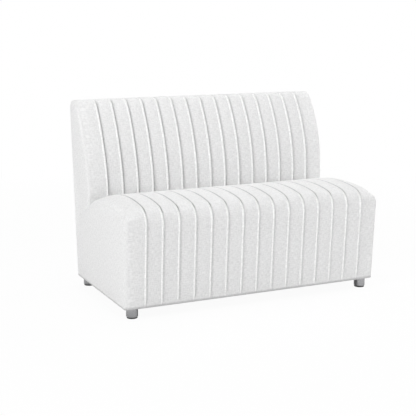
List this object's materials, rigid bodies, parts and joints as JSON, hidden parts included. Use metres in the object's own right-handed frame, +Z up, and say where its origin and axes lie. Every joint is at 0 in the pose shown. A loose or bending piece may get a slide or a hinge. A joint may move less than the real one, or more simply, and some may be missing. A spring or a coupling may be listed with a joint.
{
  "type": "upholstered dining bench",
  "caption": "Armless upholstered dining bench with channel-tufted seat and full-width padded back, plain sides and short round metal feet.",
  "frame": {"origin": "on the floor, under the middle of the bench", "axes": "+X along the bench, to the right as seen from the front; +Y from front to back; +Z up"},
  "size_m": [1.2192, 0.711, 0.8636],
  "materials": {
    "woven_cloth": "off-white plain-woven upholstery cloth",
    "dust_cloth": "black non-woven dust cloth",
    "foam": "cut polyurethane foam",
    "felt": "grey needled felt",
    "webbing": "woven elastic webbing",
    "hardwood": "sawn hardwood",
    "plywood": "plywood",
    "hardboard": "pressed hardboard",
    "spring_steel": "dark oiled spring wire",
    "zinc_steel": "zinc-plated steel",
    "foot_metal": "brushed metal",
    "black_plastic": "moulded black plastic"
  },
  "bodies": {
    "root": {"seat_cover": "woven_cloth", "seat_side_cover_left": "woven_cloth", "seat_side_cover_right": "woven_cloth", "back_cover": "woven_cloth", "back_side_cover_left": "woven_cloth", "back_side_cover_right": "woven_cloth", "outside_back_cover": "woven_cloth", "dust_cover": "dust_cloth", "seat_foam": "foam", "front_pad": "foam", "seat_side_pad_left": "foam", "seat_side_pad_right": "foam", "back_foam": "foam", "back_side_pad_left": "foam", "back_side_pad_right": "foam", "deck_insulator": "felt", "back_webbing": "webbing", "front_sill": "hardwood", "rear_sill": "hardwood", "left_sill": "hardwood", "right_sill": "hardwood", "centre_sill": "hardwood", "front_post_left": "hardwood", "front_post_right": "hardwood", "centre_front_post": "hardwood", "centre_rear_post": "hardwood", "left_side_rail": "hardwood", "right_side_rail": "hardwood", "centre_rail": "hardwood", "front_spring_rail": "hardwood", "rear_spring_rail": "hardwood", "corner_blocks": "hardwood", "back_post_left": "hardwood", "back_post_right": "hardwood", "back_lower_rail": "hardwood", "back_tack_rail": "hardwood", "back_top_rail": "hardwood", "back_stile_left": "hardwood", "back_stile_right": "hardwood", "frame_dowels": "hardwood", "front_panel": "plywood", "left_side_panel": "plywood", "right_side_panel": "plywood", "outside_back_board": "hardboard", "seat_springs": "spring_steel", "spring_tie_wires": "spring_steel", "spring_clips": "zinc_steel", "foot_studs": "zinc_steel", "foot_tee_nuts": "zinc_steel", "rail_screws": "zinc_steel", "knockdown_bolts": "zinc_steel", "bolt_washers": "zinc_steel", "barrel_nuts": "zinc_steel", "dust_cover_staples": "zinc_steel", "foot_front_left": "foot_metal", "foot_front_right": "foot_metal", "foot_rear_left": "foot_metal", "foot_rear_right": "foot_metal", "foot_glides": "black_plastic", "foot_gaskets": "black_plastic"}
  },
  "joints": []
}
